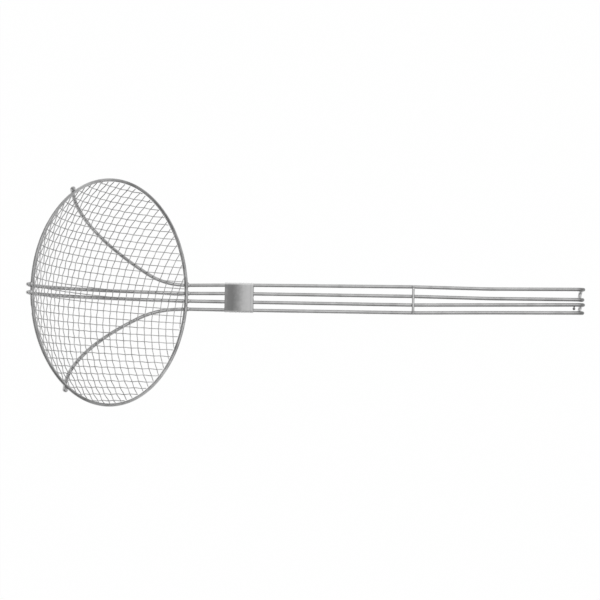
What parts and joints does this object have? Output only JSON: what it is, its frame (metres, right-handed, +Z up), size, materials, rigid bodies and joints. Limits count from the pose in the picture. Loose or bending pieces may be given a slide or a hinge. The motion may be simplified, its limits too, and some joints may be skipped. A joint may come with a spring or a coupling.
{
  "type": "spider skimmer",
  "caption": "Round spider skimmer: shallow woven wire bowl on a rim ring with ribs, four-wire handle with a folded sheet band and turned-down hooks.",
  "frame": {"origin": "on the table, under the middle of the whole skimmer's bounding box, with the skimmer lying as it rests by itself", "axes": "+X runs from the basket to the handle's hooked end, +Z is up from the table and +Y is to the left seen from the basket towards the handle's end"},
  "size_m": [0.494, 0.2032, 0.1767],
  "materials": {
    "rim_wire": "satin-bright plated steel wire",
    "frame_wire": "satin-bright plated steel wire",
    "mesh_wire": "bright plated fine steel wire",
    "band_sheet": "brushed plated sheet"
  },
  "bodies": {
    "root": {"rim_ring": "rim_wire", "binding_ring": "rim_wire", "frame_wire_left": "frame_wire", "frame_wire_right": "frame_wire", "handle_band": "band_sheet", "handle_cross_wire": "frame_wire", "mesh_along_01": "mesh_wire", "mesh_along_02": "mesh_wire", "mesh_along_03": "mesh_wire", "mesh_along_04": "mesh_wire", "mesh_along_05": "mesh_wire", "mesh_along_06": "mesh_wire", "mesh_along_07": "mesh_wire", "mesh_along_08": "mesh_wire", "mesh_along_09": "mesh_wire", "mesh_along_10": "mesh_wire", "mesh_along_11": "mesh_wire", "mesh_along_12": "mesh_wire", "mesh_along_13": "mesh_wire", "mesh_along_14": "mesh_wire", "mesh_along_15": "mesh_wire", "mesh_along_16": "mesh_wire", "mesh_along_17": "mesh_wire", "mesh_along_18": "mesh_wire", "mesh_along_19": "mesh_wire", "mesh_along_20": "mesh_wire", "mesh_along_21": "mesh_wire", "mesh_along_22": "mesh_wire", "mesh_along_23": "mesh_wire", "mesh_along_24": "mesh_wire", "mesh_along_25": "mesh_wire", "mesh_along_26": "mesh_wire", "mesh_along_27": "mesh_wire", "mesh_along_28": "mesh_wire", "mesh_along_29": "mesh_wire", "mesh_along_30": "mesh_wire", "mesh_along_31": "mesh_wire", "mesh_across_00": "mesh_wire", "mesh_across_01": "mesh_wire", "mesh_across_02": "mesh_wire", "mesh_across_03": "mesh_wire", "mesh_across_04": "mesh_wire", "mesh_across_05": "mesh_wire", "mesh_across_06": "mesh_wire", "mesh_across_07": "mesh_wire", "mesh_across_08": "mesh_wire", "mesh_across_09": "mesh_wire", "mesh_across_10": "mesh_wire", "mesh_across_11": "mesh_wire", "mesh_across_12": "mesh_wire", "mesh_across_13": "mesh_wire", "mesh_across_14": "mesh_wire", "mesh_across_15": "mesh_wire"}
  },
  "joints": []
}
